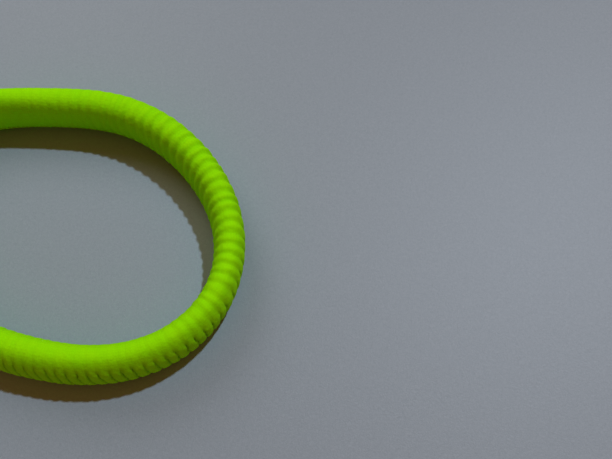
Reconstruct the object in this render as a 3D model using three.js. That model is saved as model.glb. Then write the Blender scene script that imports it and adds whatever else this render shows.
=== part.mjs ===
// Ribbed elastic wrist loop: a two-ply knitted tube bent into a closed loop, with elastic threads
// between its plies. Millimetres, +Z up, standing on z = 0 with the loop's box centred on the Z axis.
import * as THREE from 'three';

// The loop seen from above.
const loopRadius = 28; // mean radius of the middle of the band
const ovalShare = 0.173; // how far the plan is drawn out into an oval, as a share of the radius
const ovalTurn = THREE.MathUtils.degToRad(34.5);
const eggShare = 0.026; // three-sided part of the plan, which makes one end tighter
const eggTurn = THREE.MathUtils.degToRad(185);
const squareShare = 0.02; // four-sided part of the plan, which flattens its long sides
const squareTurn = THREE.MathUtils.degToRad(96);

// The layers, counted inward from the outside of the band to its middle.
const outerPlyWall = 0.8;
const threadDiameter = 0.5;
const innerPlyWall = 0.4;
const layerClearance = 0.3; // between a ply and the threads
const coreHalfGap = 0.55; // half of the hollow in the middle

// The section, which stands on edge.
const bandHeight = 11.4;
const cornerPower = 2.3; // 2 is an ellipse, more is squarer
const soleDepth = 0.25; // how much of the bottom is pressed flat
const swellShare = 0.1; // how far the soft section thickens and thins along the loop
const swellTurn = THREE.MathUtils.degToRad(114);
const leanAngle = THREE.MathUtils.degToRad(7.9); // how far the section tips, out and in, twice round the loop
const leanTurn = THREE.MathUtils.degToRad(-5);

// The closing seam, low on the inside of the loop.
const seamAngle = THREE.MathUtils.degToRad(215); // round the section, from its outer side
const seamWidth = 0.8;
const seamDepth = 0.6;
const seamClearance = 0.3; // between the seam and each lip of the outer ply

const threadCount = 8;

const stepsAlong = 56;
const stepsRound = 18;
const threadSides = 6;
const seamSides = 8;

// Where each layer's surface lies, as a depth below the outside of the band.
const threadDepth = outerPlyWall + layerClearance + threadDiameter / 2;
const innerPlyDepth = threadDepth + threadDiameter / 2 + layerClearance;
const coreDepth = innerPlyDepth + innerPlyWall;
const halfThickness = coreDepth + coreHalfGap;
const halfHeight = bandHeight / 2;
const slitWidth = seamWidth + 2 * seamClearance;

const yarn = (color, roughness) => new THREE.MeshStandardMaterial({ color, roughness, metalness: 0 });

// The plan: distance from the middle at a given angle, an oval with a slight egg shape and flatter sides.
function planPoint(angle) {
  const oval = ovalShare * Math.cos(2 * angle + ovalTurn);
  const egg = eggShare * Math.cos(3 * angle + eggTurn);
  const square = squareShare * Math.cos(4 * angle + squareTurn);
  const radius = loopRadius * (1 + oval + egg + square);
  return new THREE.Vector2(radius * Math.cos(angle), radius * Math.sin(angle));
}

// Half thickness of the band at a given angle of the plan.
function halfThicknessAt(angle) {
  return halfThickness * (1 + swellShare * Math.cos(2 * angle - swellTurn));
}

// Lean of the section at a given angle of the plan; positive tips its top away from the middle.
function leanAt(angle) {
  return leanAngle * Math.cos(2 * angle - leanTurn);
}

// A station is one section's frame: where its middle is, which way is outward, and its lean.
function makeStation(angle) {
  const small = 1e-4;
  const middle = planPoint(angle);
  const along = planPoint(angle + small).sub(planPoint(angle - small)).normalize();
  const outward = new THREE.Vector2(along.y, -along.x);
  const half = halfThicknessAt(angle);
  const lean = leanAt(angle);
  const reach = Math.hypot(half * Math.sin(lean), halfHeight * Math.cos(lean));
  return { middle, outward, half, lean, lift: reach - soleDepth };
}

// One point of a section: a superellipse of the given depth below the outside, at an angle round it.
function sectionPoint(station, depth, angle) {
  const rounded = (value) => Math.sign(value) * Math.abs(value) ** (2 / cornerPower);
  const across = (station.half - depth) * rounded(Math.cos(angle));
  const up = (halfHeight - depth) * rounded(Math.sin(angle));
  const out = across * Math.cos(station.lean) + up * Math.sin(station.lean);
  const height = station.lift + up * Math.cos(station.lean) - across * Math.sin(station.lean);
  return new THREE.Vector3(
    station.middle.x + station.outward.x * out,
    station.middle.y + station.outward.y * out,
    Math.max(height, 0),
  );
}

const stations = Array.from({ length: stepsAlong }, (_, i) => makeStation((2 * Math.PI * i) / stepsAlong));

// A closed ring whose sections are the closed outlines that outlineAt gives, anticlockwise from outside.
function sweepLoop(outlineAt) {
  const rings = stations.map(outlineAt);
  const size = rings[0].length;
  const positions = rings.flat().flatMap((point) => [point.x, point.y, point.z]);
  const index = [];
  for (let i = 0; i < stepsAlong; i += 1) {
    const here = i * size;
    const next = ((i + 1) % stepsAlong) * size;
    for (let j = 0; j < size; j += 1) {
      const k = (j + 1) % size;
      index.push(here + j, next + j, next + k);
      index.push(here + j, next + k, here + k);
    }
  }
  const geometry = new THREE.BufferGeometry();
  geometry.setAttribute('position', new THREE.Float32BufferAttribute(positions, 3));
  geometry.setIndex(index);
  geometry.computeVertexNormals();
  return geometry;
}

// Half of the angle, round the section, that the slit takes up at a given depth.
function halfSlitAngle(station, depth) {
  const small = 0.01;
  const before = sectionPoint(station, depth, seamAngle - small);
  const after = sectionPoint(station, depth, seamAngle + small);
  return (small * slitWidth) / before.distanceTo(after);
}

// The open curve round the section at a given depth, from one lip of the slit to the other.
function lipToLip(station, depth) {
  const halfSlit = halfSlitAngle(station, depth);
  const step = (2 * (Math.PI - halfSlit)) / stepsRound;
  const start = seamAngle + halfSlit;
  return Array.from({ length: stepsRound + 1 }, (_, j) => sectionPoint(station, depth, start + step * j));
}

// A ply: a C-shaped section, open at the seam.
function plyOutline(station, depth, wall) {
  return [...lipToLip(station, depth), ...lipToLip(station, depth + wall).reverse()];
}

// A round thread that keeps its place in the section all the way round the loop.
function threadOutline(station, angle) {
  const centre = sectionPoint(station, threadDepth, angle);
  return ringAround(station, centre, threadDiameter / 2, threadDiameter / 2, 0, threadSides);
}

// The seam: an oval cord in the slit, as deep as the outer ply is thick.
function seamOutline(station) {
  const centre = sectionPoint(station, outerPlyWall / 2, seamAngle);
  const below = sectionPoint(station, outerPlyWall, seamAngle);
  const above = sectionPoint(station, 0, seamAngle);
  const rise = above.z - below.z;
  const run = Math.hypot(above.x - below.x, above.y - below.y);
  return ringAround(station, centre, seamDepth / 2, seamWidth / 2, Math.atan2(rise, -run), seamSides);
}

// An ellipse of points round a centre in the section's plane, its first half-axis turned by an angle.
function ringAround(station, centre, first, second, turn, sides) {
  return Array.from({ length: sides }, (_, j) => {
    const angle = (2 * Math.PI * j) / sides;
    const p = first * Math.cos(angle);
    const q = second * Math.sin(angle);
    const out = p * Math.cos(turn) - q * Math.sin(turn);
    const up = p * Math.sin(turn) + q * Math.cos(turn);
    return new THREE.Vector3(
      centre.x + station.outward.x * out,
      centre.y + station.outward.y * out,
      centre.z + up,
    );
  });
}

const wristLoop = new THREE.Group();
wristLoop.name = 'ribbed_wrist_loop';

function addPiece(name, outlineAt, material) {
  const mesh = new THREE.Mesh(sweepLoop(outlineAt), material);
  mesh.name = name;
  wristLoop.add(mesh);
  return mesh;
}

const outerPly = addPiece('outer_ply', (station) => plyOutline(station, 0, outerPlyWall), yarn(0xb6e600, 0.9));
addPiece('inner_ply', (station) => plyOutline(station, innerPlyDepth, innerPlyWall), yarn(0xa8d400, 0.9));
for (let i = 0; i < threadCount; i += 1) {
  const angle = seamAngle + (2 * Math.PI * (i + 0.5)) / threadCount;
  const name = `elastic_thread_${String(i + 1).padStart(2, '0')}`;
  addPiece(name, (station) => threadOutline(station, angle), yarn(0xd8d6c4, 0.7));
}
addPiece('linking_seam', seamOutline, yarn(0xb0de00, 0.85));

// The box of the outer ply is centred on the Z axis.
const box = new THREE.Box3().setFromObject(outerPly);
const centre = box.getCenter(new THREE.Vector3());
wristLoop.position.set(-centre.x, -centre.y, 0);

export default wristLoop;
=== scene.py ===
import math

import bpy
import numpy as np
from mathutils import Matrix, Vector


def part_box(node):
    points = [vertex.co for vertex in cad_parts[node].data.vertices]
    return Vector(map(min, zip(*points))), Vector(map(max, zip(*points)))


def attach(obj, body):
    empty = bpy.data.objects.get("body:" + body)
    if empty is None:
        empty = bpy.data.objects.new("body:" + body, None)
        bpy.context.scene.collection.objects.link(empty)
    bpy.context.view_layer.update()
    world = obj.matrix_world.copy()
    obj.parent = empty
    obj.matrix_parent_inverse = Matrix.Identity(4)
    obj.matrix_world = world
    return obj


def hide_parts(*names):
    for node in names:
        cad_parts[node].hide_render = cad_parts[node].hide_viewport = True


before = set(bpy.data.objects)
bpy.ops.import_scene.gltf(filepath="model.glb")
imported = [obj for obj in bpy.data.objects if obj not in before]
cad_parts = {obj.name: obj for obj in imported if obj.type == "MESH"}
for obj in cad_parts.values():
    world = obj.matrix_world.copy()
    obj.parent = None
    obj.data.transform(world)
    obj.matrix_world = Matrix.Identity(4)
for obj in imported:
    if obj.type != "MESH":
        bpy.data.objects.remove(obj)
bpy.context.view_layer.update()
mm = 0.001
fullTurn = 2 * np.pi
fineSteps = 4000  # for lengths that are added up along a curve

# the loop's plan and section, the same formulas and sizes as its CAD solids
loopForm = dict(
    radius=28 * mm,
    ovalShare=0.173,
    ovalTurn=math.radians(34.5),
    eggShare=0.026,
    eggTurn=math.radians(185),
    squareShare=0.02,
    squareTurn=math.radians(96),
    stations=56,
    halfThickness=2.85 * mm,
    halfHeight=5.7 * mm,
    cornerPower=2.3,
    sole=0.25 * mm,
    swellShare=0.1,
    swellTurn=math.radians(114),
    lean=math.radians(7.9),
    leanTurn=math.radians(-5),
    seamAngle=math.radians(215),
    threadDepth=1.35 * mm,
    liningDepth=1.9 * mm,
)


def planPoint(turn):
    # radius times one plus a two-sided, a three-sided and a four-sided wave
    f = loopForm
    oval = f["ovalShare"] * np.cos(2 * turn + f["ovalTurn"])
    egg = f["eggShare"] * np.cos(3 * turn + f["eggTurn"])
    square = f["squareShare"] * np.cos(4 * turn + f["squareTurn"])
    radius = f["radius"] * (1 + oval + egg + square)
    return np.stack([radius * np.cos(turn), radius * np.sin(turn)], -1)


def rounded(value):
    # a superellipse's half-axis share: the sign kept, the size raised to two over the corner power
    return np.sign(value) * np.abs(value) ** (2 / loopForm["cornerPower"])


def formPoint(turn, angle, depth):
    # a superellipse section of that depth below the outside, tipped by its lean, set on its flattened sole
    f = loopForm
    small = 1e-4
    along = planPoint(turn + small) - planPoint(turn - small)
    along /= np.linalg.norm(along, axis=-1, keepdims=True)
    outward = np.stack([along[..., 1], -along[..., 0]], -1)
    half = f["halfThickness"] * (1 + f["swellShare"] * np.cos(2 * turn - f["swellTurn"]))
    lean = f["lean"] * np.cos(2 * turn - f["leanTurn"])
    lift = np.hypot(half * np.sin(lean), f["halfHeight"] * np.cos(lean)) - f["sole"]
    across = (half - depth) * rounded(np.cos(angle))
    up = (f["halfHeight"] - depth) * rounded(np.sin(angle))
    out = across * np.cos(lean) + up * np.sin(lean)
    height = lift + up * np.cos(lean) - across * np.sin(lean)
    flat = planPoint(turn) + outward * out[..., None]
    return np.concatenate([flat, np.maximum(height, 0)[..., None]], -1)


def findShift():
    # from the middle of the formula's loop to the middle of its CAD solid, seen from above
    turns = np.linspace(0, fullTurn, loopForm["stations"] + 1)
    angles = np.linspace(0, fullTurn, 361)  # every degree
    plan = formPoint(*np.meshgrid(turns, angles, indexing="ij"), 0)[..., :2]
    low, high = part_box("outer_ply")
    return np.array((low + high)[:2]) / 2 - (plan.min((0, 1)) + plan.max((0, 1))) / 2


loopShift = np.append(findShift(), 0)
print("loop moved by", loopShift)


def bandPoint(turn, angle, depth):
    # the formula's point, moved to where the CAD solids are
    return formPoint(turn, angle, depth) + loopShift


def evenTurns(count, bunch=0.0, bunchTurn=0.0, drift=0.0):
    # turns whose plan points are evenly spaced along the loop, or crowded by a two-sided and a one-sided
    # wave; and the loop's length
    turn = np.linspace(0, fullTurn, fineSteps + 1)
    step = np.linalg.norm(np.diff(planPoint(turn), axis=0), axis=1)
    crowd = 1 + bunch * np.cos(2 * turn[1:] + bunchTurn) - drift * np.sin(turn[1:])
    share = np.concatenate([[0], np.cumsum(step * crowd)])
    return np.interp(np.arange(count) / count * share[-1], share, turn), step.sum()


def sectionAngles(distances, depth):
    # section angles at those distances round it from the seam, and the section's whole length
    f = loopForm
    angle = f["seamAngle"] + np.linspace(0, fullTurn, fineSteps + 1)
    x = (f["halfThickness"] - depth) * rounded(np.cos(angle))
    y = (f["halfHeight"] - depth) * rounded(np.sin(angle))
    length = np.concatenate([[0], np.cumsum(np.hypot(np.diff(x), np.diff(y)))])
    return np.interp(distances, length, angle), length[-1]


def softNoise(shape, cells, seed):
    # smooth random waves on a grid that closes along both ways, from -1 to 1 or so
    rng = np.random.default_rng(seed)
    rows = np.fft.fftfreq(shape[0], 1 / shape[0])
    columns = np.fft.rfftfreq(shape[1], 1 / shape[1])
    reach = np.hypot(rows[:, None] / cells[0], columns[None] / cells[1])
    waves = np.fft.rfft2(rng.standard_normal(shape)) * np.exp(-0.5 * reach**2)
    field = np.fft.irfft2(waves, shape)
    return field / field.std() / 2


def between(first, second, share):
    # the first value where the share is 0 and the second where it is 1
    return first + (second - first) * share


def fade(value, start, length):
    # from 0 at the start to 1 a length further on, by three times the square less twice the cube
    held = np.clip((value - start) / length, 0, 1)
    return held * held * (3 - 2 * held)


def closedSurface(name, points, uAlong, vRound):
    # quads over a grid that closes both ways; uAlong has one more row and vRound one more value than the
    # grid, for the map's far edges
    rows, columns = points.shape[:2]
    i, j = np.meshgrid(np.arange(rows), np.arange(columns), indexing="ij")
    nextJ = (j + 1) % columns
    here, ahead = i * columns, (i + 1) % rows * columns
    corners = np.stack([here + j, ahead + j, ahead + nextJ, here + nextJ], -1)
    mesh = bpy.data.meshes.new(name)
    mesh.vertices.add(rows * columns)
    mesh.vertices.foreach_set("co", points.reshape(-1).astype(np.float32))
    mesh.loops.add(corners.size)
    mesh.loops.foreach_set("vertex_index", corners.reshape(-1).astype(np.int32))
    mesh.polygons.add(rows * columns)
    mesh.polygons.foreach_set("loop_start", np.arange(0, corners.size, 4, dtype=np.int32))
    mesh.update(calc_edges=True)
    u = np.stack([uAlong[i, j], uAlong[i + 1, j], uAlong[i + 1, nextJ], uAlong[i, nextJ]], -1)
    v = np.stack([vRound[j], vRound[j], vRound[j + 1], vRound[j + 1]], -1)
    layer = mesh.uv_layers.new(name="knitMap")
    layer.data.foreach_set("uv", np.stack([u, v], -1).reshape(-1).astype(np.float32))
    mesh.polygons.foreach_set("use_smooth", np.ones(rows * columns, dtype=bool))
    mesh.validate()
    piece = bpy.data.objects.new(name, mesh)
    bpy.context.scene.collection.objects.link(piece)
    return piece


def closedTube(name, path, side, radius, sides, mapLength):
    # a ring of that radius round every point of a closed path, in the plane across it, starting at its side
    along = np.roll(path, -1, 0) - np.roll(path, 1, 0)
    along /= np.linalg.norm(along, axis=1, keepdims=True)
    first = side - along * (side * along).sum(1, keepdims=True)
    first /= np.linalg.norm(first, axis=1, keepdims=True)
    second = np.cross(along, first)
    spin = (np.arange(sides) / sides * fullTurn)[None, :, None]
    ring = first[:, None] * np.cos(spin) - second[:, None] * np.sin(spin)
    points = path[:, None] + ring * (np.ones((len(path), sides)) * radius)[..., None]
    uAlong = np.repeat(np.arange(len(path) + 1)[:, None] / len(path) * mapLength, sides, 1)
    return closedSurface(name, points, uAlong, np.arange(sides + 1) / sides)


def finishPiece(piece, material, node):
    piece.data.materials.append(material)
    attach(piece, "root")
    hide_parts(node)


# shader groups and the yarn material


def feed(tree, value, socket):
    # another node's output is linked, and a number or colour is set on the socket
    if hasattr(value, "is_linked"):
        tree.links.new(value, socket)
    else:
        socket.default_value = value


def newGroup(name, place, numbers, outputs):
    # a group that takes a place and some numbers with their usual values, and puts out numbers
    group = bpy.data.node_groups.new(name, "ShaderNodeTree")
    group.interface.new_socket(place, in_out="INPUT", socket_type="NodeSocketVector")
    for socket, value in numbers.items():
        item = group.interface.new_socket(socket, in_out="INPUT", socket_type="NodeSocketFloat")
        item.default_value = value
    for socket in outputs:
        group.interface.new_socket(socket, in_out="OUTPUT", socket_type="NodeSocketFloat")
    return group, group.nodes.new("NodeGroupInput"), group.nodes.new("NodeGroupOutput")


def placeGroup(tree, group, **values):
    node = tree.nodes.new("ShaderNodeGroup")
    node.node_tree = group
    for socket, value in values.items():
        feed(tree, value, node.inputs[socket])
    return node


def mathNode(tree, operation, *values):
    node = tree.nodes.new("ShaderNodeMath")
    node.operation = operation
    for socket, value in zip(node.inputs, values):
        feed(tree, value, socket)
    return node.outputs[0]


def mixColour(tree, share, first, second):
    # sockets 0, 6 and 7 are a colour mix's share and its two colours, and output 2 is its result
    node = tree.nodes.new("ShaderNodeMix")
    node.data_type = "RGBA"
    for socket, value in ((0, share), (6, first), (7, second)):
        feed(tree, value, node.inputs[socket])
    return node.outputs[2]


def makeKnitLoops():
    # two slanted legs to a column: a cosine along the column, pushed back by the distance from its middle,
    # times a parabola across each leg
    numbers = {"Columns": 2.0, "Courses": 1800.0, "Slant": 0.9}
    group, given, out = newGroup("knitLoops", "Map", numbers, ["Height"])
    parts = group.nodes.new("ShaderNodeSeparateXYZ")
    group.links.new(given.outputs["Map"], parts.inputs[0])
    column = mathNode(group, "FRACT", mathNode(group, "MULTIPLY", parts.outputs[0], given.outputs["Columns"]))
    off = mathNode(group, "ABSOLUTE", mathNode(group, "SUBTRACT", column, 0.5))
    course = mathNode(group, "MULTIPLY", parts.outputs[1], given.outputs["Courses"])
    slanted = mathNode(group, "ADD", course, mathNode(group, "MULTIPLY", off, given.outputs["Slant"]))
    strand = mathNode(group, "COSINE", mathNode(group, "MULTIPLY", slanted, 2 * math.pi))
    strand = mathNode(group, "MULTIPLY_ADD", strand, 0.5, 0.5)
    legPlace = mathNode(group, "MULTIPLY_ADD", off, 4.0, -1.0)
    leg = mathNode(group, "SUBTRACT", 1.0, mathNode(group, "MULTIPLY", legPlace, legPlace))
    group.links.new(mathNode(group, "MULTIPLY", strand, leg), out.inputs["Height"])
    return group


def makeYarnFuzz():
    # fine fibre noise, small tufts and a soft mottle, each a noise of its own scale
    scales = {"Fibre": 9000.0, "Tuft": 1700.0, "Mottle": 700.0}
    group, given, out = newGroup("yarnFuzz", "Place", scales, ["Height", "Tuft", "Mottle"])
    for scale, detail, roughness, distortion, result in (
        ("Fibre", 4, 0.65, 1.2, "Height"),
        ("Tuft", 2, 0.5, 0, "Tuft"),
        ("Mottle", 3, 0.5, 0, "Mottle"),
    ):
        noise = group.nodes.new("ShaderNodeTexNoise")
        noise.inputs["Detail"].default_value = detail
        noise.inputs["Roughness"].default_value = roughness
        noise.inputs["Distortion"].default_value = distortion
        group.links.new(given.outputs["Place"], noise.inputs["Vector"])
        group.links.new(given.outputs[scale], noise.inputs["Scale"])
        group.links.new(noise.outputs[0], out.inputs[result])
    return group


knitLoops, yarnFuzz = makeKnitLoops(), makeYarnFuzz()


def yarnMaterial(name, look):
    # knit legs, tufts and fibre noise make the bump; painted shade darkens the gaps between the legs, and the
    # grooves, towards the darkest colour
    material = bpy.data.materials.new(name)
    material.use_nodes = True
    tree = material.node_tree
    shader = tree.nodes["Principled BSDF"]
    uv = tree.nodes.new("ShaderNodeUVMap")
    uv.uv_map = "knitMap"
    place = tree.nodes.new("ShaderNodeTexCoord").outputs["Object"]
    stitches = dict(Columns=look["columns"], Courses=look["courses"], Slant=look["slant"])
    knit = placeGroup(tree, knitLoops, Map=uv.outputs[0], **stitches)
    fuzz = placeGroup(tree, yarnFuzz, Place=place, Fibre=look["fibre"], Mottle=look["mottle"])
    share = mathNode(tree, "MULTIPLY_ADD", knit.outputs["Height"], look["knitShade"], 1 - look["knitShade"])
    # painted shade in the grooves: where the piece holds a groove share, the colour darkens further towards
    # the darkest colour
    if "grooveShade" in look:
        paintedGrooveShade = tree.nodes.new("ShaderNodeAttribute")
        paintedGrooveShade.attribute_name = "paintedGrooveShade"
        lift = mathNode(tree, "MULTIPLY_ADD", paintedGrooveShade.outputs["Fac"], -look["grooveShade"], 1.0)
        share = mathNode(tree, "MULTIPLY", lift, share)
    yarn = mixColour(tree, fuzz.outputs["Mottle"], look["cool"], look["warm"])
    tree.links.new(mixColour(tree, share, look["deep"], yarn), shader.inputs["Base Color"])
    rough = mathNode(tree, "MULTIPLY_ADD", fuzz.outputs["Height"], look["roughSpan"], look["rough"])
    tree.links.new(rough, shader.inputs["Roughness"])
    height = mathNode(tree, "MULTIPLY", knit.outputs["Height"], look["knitRelief"])
    height = mathNode(tree, "MULTIPLY_ADD", fuzz.outputs["Height"], look["fuzzRelief"], height)
    height = mathNode(tree, "MULTIPLY_ADD", fuzz.outputs["Tuft"], look["tuftRelief"], height)
    bump = tree.nodes.new("ShaderNodeBump")
    bump.inputs["Strength"].default_value = 1
    bump.inputs["Distance"].default_value = 1
    tree.links.new(height, bump.inputs["Height"])
    tree.links.new(bump.outputs[0], shader.inputs["Normal"])
    shader.inputs["Sheen Weight"].default_value = look["sheen"]
    shader.inputs["Sheen Tint"].default_value = look["sheenTint"]
    shader.inputs["Specular IOR Level"].default_value = look["specular"]
    return material


# the ribbed cover

ribbedCover = dict(
    ribs=98,
    rowsPerRib=11,
    outerSteps=62,
    innerSteps=16,
    wall=0.8 * mm,
    fill=0.6,
    # the slit along the seam, and its lips
    slit=0.5 * mm,
    lipRound=0.34 * mm,
    lipSteps=(0, 0.1, 0.3, 0.6, 1),
    lipSetBack=0.02 * mm,
    lipInside=0.8,
    # the ribs are crowded at two opposite places along the loop, and a little more towards its -Y side
    bunch=0.1,
    bunchTurn=math.radians(114),
    drift=0.035,
    # the ribs stand a crest proud of the plain surface, with grooves of this depth between them
    crest=0.08 * mm,
    ribDepth=0.36 * mm,
    insideRibs=0.25,
    # on the outer wall, wide flat ribs with narrow grooves, which reach further down than up; a fade is its
    # start and its length, in the cosine or sine of the angle round the section
    wallSquare=4.5,
    wallPower=0.5,
    wallShare=1.02,
    wallSwing=0.36,
    wallTurn=math.radians(30),
    wallFade=(0.79, 0.17),
    lowFade=0.35,
    lowReach=0.5,
    # on the top and the inside, rounder and shallower waves
    topPower=0.8,
    topShare=0.7,
    topSwing=0.6,
    topTurn=math.radians(60),
    insideShare=0.66,
    insideFade=0.8,
    # how much painted shade the grooves get on the top, as a share of that on the outer wall
    topShade=0.15,
    # the outer wall on the +Y side, where the knit is pulled smooth
    farShare=0.3,
    farTurns=(0.3, 0.5),
    farAngles=(0.35, 0.4),
    # unevenness: each noise has its size, its cells along and round the band, and its seed
    seed=41,
    widthJitter=0.08,
    noiseSteps=256,
    wander=(0.1, (26, 3), 42),
    waver=(0.06, (60, 14), 45),
    tall=(0.05 * mm, (30, 2), 43),
    knob=(0.04 * mm, (130, 24), 46),
    grain=(0.014 * mm, (300, 24), 44),
    lump=0.03 * mm,
    lumpLength=1.15 * mm,
    calmGrooves=0.4,
    calmWall=0.4,
)
# the cover's yarn: its darkest colour is painted shade, which the gaps between the knit legs and the grooves
# darken towards
neonRib = dict(
    columns=2.0, courses=1900.0, slant=0.9, fibre=8000.0, mottle=420.0,
    knitShade=0.06, grooveShade=0.5, knitRelief=0.008 * mm, fuzzRelief=0.05 * mm, tuftRelief=0.09 * mm,
    cool=(0.28, 0.84, 0.002, 1), warm=(0.36, 0.88, 0.002, 1), deep=(0.07, 0.19, 0.001, 1),
    rough=0.72, roughSpan=0.3, sheen=0.1, sheenTint=(0.7, 1, 0.05, 1), specular=0.06,
)


def coverSteps(cover, whole):
    # distances round the section from the seam: over the outside from lip to lip, close together on the lips,
    # and back along the inside
    near, lip = cover["slit"] / 2, cover["lipRound"]
    edge = lip * np.array(cover["lipSteps"])
    body = np.linspace(near + 2 * lip, whole - near - 2 * lip, cover["outerSteps"])
    outer = np.concatenate([near + edge, body, (whole - near - edge)[::-1]])
    inner = np.linspace(whole - near, near, cover["innerSteps"])
    inner[0] -= cover["lipSetBack"]
    inner[-1] += cover["lipSetBack"]
    return outer, inner


def bandNoise(cover, kind, share):
    # one of the cover's noises at those shares of the way round the section
    size, cells, seed = cover[kind]
    field = softNoise((cover["ribs"] * cover["rowsPerRib"], cover["noiseSteps"]), cells, seed)
    return field[:, (share * (cover["noiseSteps"] - 1)).astype(int)] * size


def ribNumbers(cover, share, rng):
    # the number of the rib at every point: the ribs' edges moved a little, all but the first and last,
    # and each rib wandering across the band
    ribs = cover["ribs"]
    moves = rng.uniform(-cover["widthJitter"], cover["widthJitter"], ribs + 1)
    moves[[0, -1]] = 0
    even = np.arange(ribs * cover["rowsPerRib"]) / cover["rowsPerRib"]
    number = np.interp(even, np.arange(ribs + 1) + moves, np.arange(ribs + 1))
    return number[:, None] + bandNoise(cover, "wander", share) + bandNoise(cover, "waver", share)


def ribRelief(cover, turns, angles, ribShare):
    # the ridge, from 0 in a groove to 1 on a rib: one less a high power on the outer wall, a power of a
    # raised cosine elsewhere; the share of the full relief; and where the outer wall is
    low = fade(-np.sin(angles), 0, cover["lowFade"])
    wall = fade(np.cos(angles) + cover["lowReach"] * low, *cover["wallFade"])
    inside = fade(-np.cos(angles), 0, cover["insideFade"])
    far = fade(np.sin(turns), *cover["farTurns"]) * fade(np.cos(angles), *cover["farAngles"])
    flatRidge = (1 - np.abs(2 * ribShare - 1) ** cover["wallSquare"]) ** cover["wallPower"]
    waveRidge = (0.5 - 0.5 * np.cos(fullTurn * ribShare)) ** cover["topPower"]
    top = cover["topShare"] + cover["topSwing"] * np.cos(2 * turns - cover["topTurn"])
    side = cover["wallShare"] + cover["wallSwing"] * np.cos(turns + cover["wallTurn"])
    relief = between(top * between(1, cover["insideShare"], inside), side, wall)
    return between(waveRidge, flatRidge, wall), relief * between(1, cover["farShare"], far), wall


def makeCover(cover):
    # the section's outline carried along the loop, pushed in by the grooves and out by the ribs
    rng = np.random.default_rng(cover["seed"])
    rows = cover["ribs"] * cover["rowsPerRib"]
    turns, girth = evenTurns(rows, cover["bunch"], cover["bunchTurn"], cover["drift"])
    turns = turns[:, None]
    whole = sectionAngles(0, 0)[1]
    outer, inner = coverSteps(cover, whole)
    outside = slice(0, len(outer))
    inside = slice(len(outer), None)
    distances = np.concatenate([outer, inner])
    angles = sectionAngles(distances, 0)[0][None]
    share = distances / whole
    ribNumber = ribNumbers(cover, share, rng)
    ridge, relief, wall = ribRelief(cover, turns, angles, ribNumber - np.floor(ribNumber))

    # ribs of uneven height, with lumps and knobs along them, and a fine grain all over
    lumpTurn = rng.uniform(0, fullTurn, cover["ribs"])[np.floor(ribNumber).astype(int) % cover["ribs"]]
    lumps = np.cos(fullTurn * distances / cover["lumpLength"] + lumpTurn) * cover["lump"]
    uneven = bandNoise(cover, "tall", share) + (lumps + bandNoise(cover, "knob", share)) * ridge
    uneven *= ridge * between(cover["calmGrooves"], 1, relief) * (1 - cover["calmWall"] * wall)
    size, cells, seed = cover["grain"]
    grain = softNoise((rows, len(distances)), cells, seed) * size
    depth = relief * (cover["ribDepth"] * (1 - ridge) - cover["crest"]) - uneven - grain

    # the lips round over to half the wall, and the inside follows the ribs a little
    near = cover["slit"] / 2
    fromLip = np.minimum(distances - near, whole - near - distances)
    over = np.clip(1 - fromLip / cover["lipRound"], 0, 1)
    depth = depth * (1 - over**2) + cover["wall"] / 2 * (1 - np.sqrt(1 - over**2))
    depth[:, inside] = cover["wall"] - cover["insideRibs"] * cover["ribDepth"] * ridge[:, inside]
    depth[:, [len(outer), -1]] = cover["wall"] * cover["lipInside"]

    # the map runs in rib numbers along the loop, and in metres round the section and back along the inside
    uAlong = np.concatenate([ribNumber, ribNumber[:1] + cover["ribs"]])
    vRound = np.concatenate([outer, 2 * outer[-1] - inner, 2 * outer[-1] - inner[-1:]])
    piece = closedSurface("ribbed_cover", bandPoint(turns, angles, depth), uAlong, vRound)
    # painted shade in the grooves: a share from each groove's depth and relief, full on the outer wall, a
    # smaller share on the top, none inside; the material darkens the colour by it
    paintedGrooveShade = np.zeros(ridge.shape, np.float32)
    shade = (1 - ridge) * relief * between(cover["topShade"], 1, wall)
    paintedGrooveShade[:, outside] = np.clip(shade[:, outside], 0, 1)
    piece.data.attributes.new("paintedGrooveShade", "FLOAT", "POINT").data.foreach_set("value", paintedGrooveShade.reshape(-1))
    finishPiece(piece, yarnMaterial("neonRibKnit", neonRib), "outer_ply")
    triangles = len(piece.data.polygons) * 2
    print("ribbed cover:", triangles, "triangles, girth", round(girth, 4), "round", round(whole, 4))


makeCover(ribbedCover)

# the plain lining inside

plainLining = dict(
    rows=392,
    wall=0.4 * mm,
    slit=1.4 * mm,
    steps=40,
    backSteps=14,
    wales=294,
    waves=98,
    waveHeight=0.03 * mm,
)
# the lining's yarn: its darkest colour is painted shade in the gaps between the knit legs
neonLining = dict(
    columns=1.0, courses=1500.0, slant=0.8, fibre=9000.0, mottle=500.0,
    knitShade=0.3, knitRelief=0.05 * mm, fuzzRelief=0.04 * mm, tuftRelief=0.03 * mm,
    cool=(0.33, 0.76, 0.01, 1), warm=(0.42, 0.8, 0.01, 1), deep=(0.17, 0.42, 0.004, 1),
    rough=0.72, roughSpan=0.3, sheen=0.2, sheenTint=(0.8, 1, 0.3, 1), specular=0.15,
)


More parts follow.
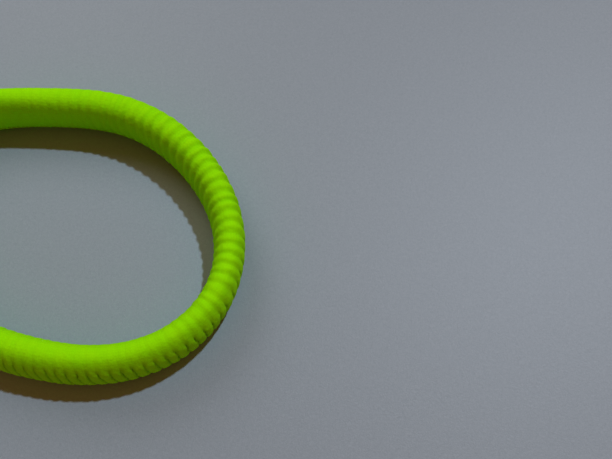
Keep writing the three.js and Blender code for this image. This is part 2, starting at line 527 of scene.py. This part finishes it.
def makeLining(lining):
    # the section's curve from lip to lip and back, its outside in low waves along the loop
    rows, steps, backSteps = lining["rows"], lining["steps"], lining["backSteps"]
    turns, girth = evenTurns(rows)
    top = loopForm["liningDepth"]
    whole = sectionAngles(0, top)[1]
    out = np.linspace(lining["slit"] / 2, whole - lining["slit"] / 2, steps)
    back = np.linspace(out[-1], out[0], backSteps)
    angles = sectionAngles(np.concatenate([out, back]), top)[0]
    along = np.arange(rows + 1)[:, None] / rows
    wave = np.cos(fullTurn * lining["waves"] * along[:-1]) * lining["waveHeight"]
    depth = np.concatenate([top + wave.repeat(steps, 1), np.full((rows, backSteps), top + lining["wall"])], 1)
    points = bandPoint(turns[:, None], angles[None], depth)
    uAlong = np.repeat(along * lining["wales"], steps + backSteps, 1)
    vRound = np.concatenate([out, 2 * out[-1] - back, [2 * out[-1] - out[0]]])
    piece = closedSurface("plain_lining", points, uAlong, vRound)
    finishPiece(piece, yarnMaterial("neonLiningKnit", neonLining), "inner_ply")
    print("lining: flat", round(out[-1] - out[0], 4), "by", round(girth, 4))


makeLining(plainLining)

# the elastic threads, each wound with a fine yarn

coveredThread = dict(count=8, rows=700, sides=10, radius=0.23 * mm, wraps=350, wrapRelief=0.02 * mm)
# the wound yarn: its darkest colour is painted shade in the gaps of its knit pattern
threadWrap = dict(
    columns=1.0, courses=3.0, slant=1.0, fibre=9000.0, mottle=900.0,
    knitShade=0.25, knitRelief=0.01 * mm, fuzzRelief=0.02 * mm, tuftRelief=0.01 * mm,
    cool=(0.62, 0.6, 0.44, 1), warm=(0.7, 0.68, 0.5, 1), deep=(0.36, 0.34, 0.22, 1),
    rough=0.55, roughSpan=0.3, sheen=0.1, sheenTint=(1, 1, 0.9, 1), specular=0.3,
)


def makeThreads(thread):
    # a round tube along the loop at its place in the section, with a wave that winds round it
    material = yarnMaterial("woundElastic", threadWrap)
    rows, sides = thread["rows"], thread["sides"]
    turns, girth = evenTurns(rows)
    wind = np.arange(rows)[:, None] / rows * thread["wraps"] + np.arange(sides)[None] / sides
    radius = thread["radius"] + thread["wrapRelief"] * np.cos(fullTurn * wind)
    upward = np.tile([0.0, 0.0, 1.0], (rows, 1))
    for i in range(thread["count"]):
        angle = loopForm["seamAngle"] + fullTurn * (i + 0.5) / thread["count"]
        path = bandPoint(turns, np.full(rows, angle), loopForm["threadDepth"])
        piece = closedTube(f"covered_thread_{i + 1:02d}", path, upward, radius, sides, thread["wraps"])
        finishPiece(piece, material, f"elastic_thread_{i + 1:02d}")
    print("covered threads:", thread["count"], "of girth", round(girth, 4))


makeThreads(coveredThread)

# the linking stitches, which close the cover low on the inside

linkingStitches = dict(
    stitches=196,
    rowsPerStitch=10,
    sides=6,
    radius=0.12 * mm,
    reach=0.36 * mm,
    depth=0.16 * mm,
    weave=0.13 * mm,
)
# the stitches' yarn: its darkest colour is painted shade in the gaps of its knit pattern
stitchYarn = dict(
    columns=1.0, courses=2.0, slant=1.0, fibre=9000.0, mottle=900.0,
    knitShade=0.25, knitRelief=0.01 * mm, fuzzRelief=0.03 * mm, tuftRelief=0.01 * mm,
    cool=(0.34, 0.8, 0.01, 1), warm=(0.44, 0.84, 0.01, 1), deep=(0.16, 0.42, 0.003, 1),
    rough=0.65, roughSpan=0.3, sheen=0.2, sheenTint=(0.8, 1, 0.3, 1), specular=0.2,
)


def makeStitches(stitch):
    # two strands that swing from lip to lip, out of step, and pass over and under each other
    rows = stitch["stitches"] * stitch["rowsPerStitch"]
    turns = evenTurns(rows)[0]
    phase = np.arange(rows) / stitch["rowsPerStitch"] * np.pi
    small = 0.1 * mm
    middle, beside = sectionAngles([0, small], 0)[0]
    slope = (beside - middle) / small
    material = yarnMaterial("linkingYarn", stitchYarn)
    for strand, sign in (("a", 1), ("b", -1)):
        angle = middle + sign * stitch["reach"] * np.cos(phase) * slope
        depth = stitch["depth"] - sign * stitch["weave"] * np.sin(phase)
        path = bandPoint(turns, angle, depth)
        upward = path - bandPoint(turns, angle, depth + small)
        name = "linking_stitches_" + strand
        piece = closedTube(name, path, upward, stitch["radius"], stitch["sides"], stitch["stitches"])
        finishPiece(piece, material, "linking_seam")
    print("linking stitches:", stitch["stitches"], "to each of 2 strands")


makeStitches(linkingStitches)

# floor, light and camera

plainFloor = dict(
    halfSize=1.6,
    colour=(0.28, 0.355, 0.42, 1),
    speck=(0.245, 0.315, 0.375, 1),
    speckRange=(0.35, 0.65),
    grain=2600.0,
    bump=0.03 * mm,
    rough=0.48,
)
stageLights = dict(
    keyLight=dict(
        kind="SUN", angle=math.radians(2.4), energy=1.3, color=(0.86, 1.0, 1.16),
        turn=math.radians(43), rise=math.radians(62.5),
    ),
    fillLight=dict(
        kind="AREA", shape="DISK", size=0.3, energy=0.46, color=(0.9, 0.95, 0.95),
        turn=math.radians(120), rise=math.radians(46),
    ),
)
lightAim = Vector((0.015, 0, 0.005))
lightDistance = 0.5
softSky = dict(colour=(1.0, 0.47, 0.16, 1), strength=0.3, backdrop=(0.5, 0.52, 0.54, 1))
viewCamera = dict(lens=41.45, rise=math.radians(68.2), distance=0.1314, aim=Vector((0.04607, 0.00162, 0)))


def makeFloor(look):
    half = look["halfSize"]
    mesh = bpy.data.meshes.new("floor")
    corners = [(-half, -half, 0), (half, -half, 0), (half, half, 0), (-half, half, 0)]
    mesh.from_pydata(corners, [], [(0, 1, 2, 3)])
    floor = bpy.data.objects.new("floor", mesh)
    bpy.context.scene.collection.objects.link(floor)
    material = bpy.data.materials.new("paleBoard")
    material.use_nodes = True
    tree = material.node_tree
    shader = tree.nodes["Principled BSDF"]
    place = tree.nodes.new("ShaderNodeTexCoord").outputs["Object"]
    grain = placeGroup(tree, yarnFuzz, Place=place, Fibre=look["grain"]).outputs["Height"]
    specks = tree.nodes.new("ShaderNodeMapRange")
    specks.inputs["From Min"].default_value, specks.inputs["From Max"].default_value = look["speckRange"]
    tree.links.new(grain, specks.inputs["Value"])
    colour = mixColour(tree, specks.outputs[0], look["speck"], look["colour"])
    tree.links.new(colour, shader.inputs["Base Color"])
    shader.inputs["Roughness"].default_value = look["rough"]
    bump = tree.nodes.new("ShaderNodeBump")
    bump.inputs["Distance"].default_value = look["bump"]
    tree.links.new(grain, bump.inputs["Height"])
    tree.links.new(bump.outputs[0], shader.inputs["Normal"])
    mesh.materials.append(material)


def aimAt(thing, place, target):
    thing.location = place
    thing.rotation_euler = (target - place).to_track_quat("-Z", "Y").to_euler()


def makeLight(name, kind, turn, rise, **values):
    # what is left of the settings goes on the lamp itself
    light = bpy.data.lights.new(name, kind)
    for setting, value in values.items():
        setattr(light, setting, value)
    lamp = bpy.data.objects.new(name, light)
    bpy.context.scene.collection.objects.link(lamp)
    way = Vector((math.cos(turn) * math.cos(rise), math.sin(turn) * math.cos(rise), math.sin(rise)))
    aimAt(lamp, lightAim + way * lightDistance, lightAim)


def makeSky(look):
    # a warm dim sky gives the light in the shadows, and a plain pale backdrop is what is seen
    world = bpy.data.worlds.new("softSky")
    world.use_nodes = True
    tree = world.node_tree
    sky = tree.nodes["Background"]
    sky.inputs["Color"].default_value = look["colour"]
    sky.inputs["Strength"].default_value = look["strength"]
    backdrop = tree.nodes.new("ShaderNodeBackground")
    backdrop.inputs["Color"].default_value = look["backdrop"]
    chosen = tree.nodes.new("ShaderNodeMixShader")
    tree.links.new(tree.nodes.new("ShaderNodeLightPath").outputs["Is Camera Ray"], chosen.inputs[0])
    tree.links.new(sky.outputs[0], chosen.inputs[1])
    tree.links.new(backdrop.outputs[0], chosen.inputs[2])
    tree.links.new(chosen.outputs[0], tree.nodes["World Output"].inputs["Surface"])
    bpy.context.scene.world = world


def makeCamera(look):
    camera = bpy.data.cameras.new("camera")
    camera.lens = look["lens"]
    camera.sensor_width = 36
    camera.clip_start = 0.01
    viewer = bpy.data.objects.new("camera", camera)
    bpy.context.scene.collection.objects.link(viewer)
    back = Vector((0, -math.cos(look["rise"]), math.sin(look["rise"])))
    aimAt(viewer, look["aim"] + back * look["distance"], look["aim"])
    bpy.context.scene.camera = viewer


makeFloor(plainFloor)
for name, light in stageLights.items():
    makeLight(name, **light)
makeSky(softSky)
makeCamera(viewCamera)
bpy.context.scene.view_settings.view_transform = "Standard"
bpy.context.scene.view_settings.look = "Medium High Contrast"
print("stage set")
